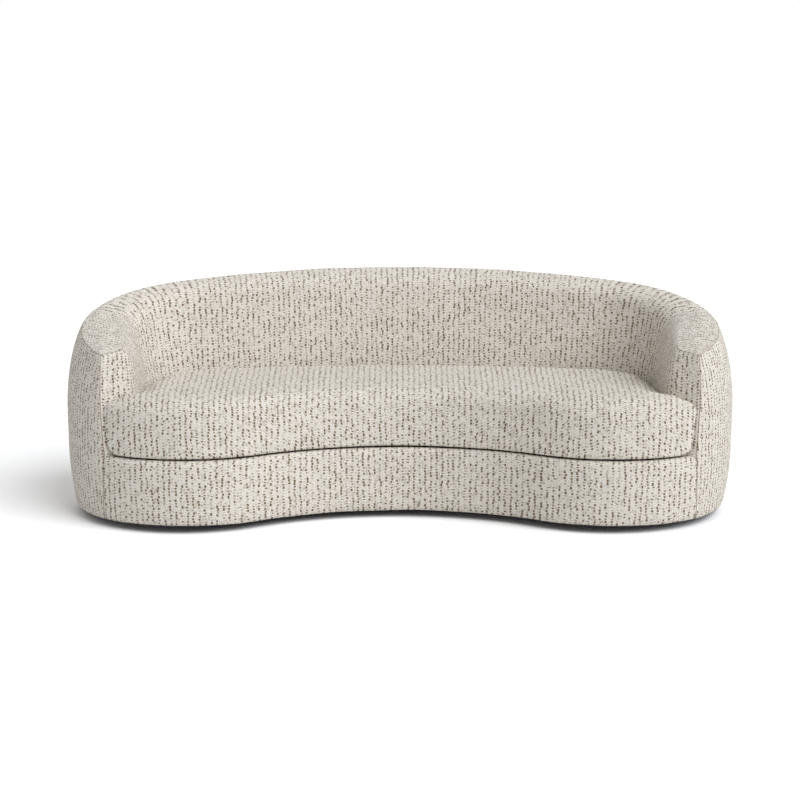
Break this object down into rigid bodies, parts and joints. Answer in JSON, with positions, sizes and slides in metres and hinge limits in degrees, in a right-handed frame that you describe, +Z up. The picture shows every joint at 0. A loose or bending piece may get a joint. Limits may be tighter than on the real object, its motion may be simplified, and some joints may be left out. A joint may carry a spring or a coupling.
{
  "type": "sofa",
  "caption": "Kidney-shaped upholstered sofa: one curved wall makes the back and arms, its rim falling to the front, round a loose crowned bench cushion on a padded base",
  "frame": {"origin": "on the floor, under the middle of the overall box", "axes": "+X along the seat, +Z up; the open front faces -Y"},
  "size_m": [2.27, 1.0376, 0.7762],
  "materials": {
    "cover_cloth": "nubby oatmeal cloth with short brown flecks in upright columns",
    "wadding": "loose white polyester wadding",
    "foam": "open-cell polyurethane foam",
    "hardboard": "thin bent fibreboard, brown and smooth on one face",
    "plywood": "bare birch plywood",
    "timber": "bare planed softwood",
    "webbing": "woven elastic webbing",
    "lining": "thin black non-woven lining",
    "foot_plastic": "moulded black plastic, lightly grained",
    "steel": "zinc-plated steel",
    "zip_cloth": "woven zip tape",
    "zip_plastic": "moulded nylon coil"
  },
  "bodies": {
    "sofa": {"outside_cover": "cover_cloth", "inside_cover": "cover_cloth", "front_cover": "cover_cloth", "outside_wadding": "wadding", "left_arm_foam": "foam", "back_foam": "foam", "right_arm_foam": "foam", "front_foam": "foam", "deck_pad": "foam", "outer_board": "hardboard", "inner_board": "hardboard", "top_rail": "plywood", "bottom_plate": "plywood", "front_rail": "plywood", "back_rib_1": "plywood", "back_rib_2": "plywood", "back_rib_3": "plywood", "back_rib_4": "plywood", "back_rib_5": "plywood", "right_rib_1": "plywood", "right_rib_2": "plywood", "right_rib_3": "plywood", "left_rib_1": "plywood", "left_rib_2": "plywood", "left_rib_3": "plywood", "left_arm_post": "timber", "right_arm_post": "timber", "post_blocks": "timber", "seat_rail": "timber", "seat_beam_1": "timber", "seat_beam_2": "timber", "seat_beam_3": "timber", "seat_beam_4": "timber", "seat_beam_5": "timber", "long_straps": "webbing", "cross_straps": "webbing", "deck_cloth": "lining", "dust_cover": "lining", "feet": "foot_plastic", "foot_nuts": "steel"},
    "cushion": {"cushion_top_cover": "cover_cloth", "cushion_base_cover": "cover_cloth", "cushion_wrap": "wadding", "cushion_core": "foam", "zip_tape": "zip_cloth", "zip_coil": "zip_plastic"},
    "slider": {"zip_slider": "steel"}
  },
  "joints": [
    {"name": "cushion_lift", "type": "slide", "parent": "sofa", "child": "cushion", "axis": [0, 0, 1], "range_m": [0, 0.55]},
    {"name": "slider_run", "type": "hinge", "parent": "cushion", "child": "slider", "pos_m": [0, -2.48709, 0.3], "axis": [0, 0, 1], "range_deg": [0, 22.4]}
  ]
}
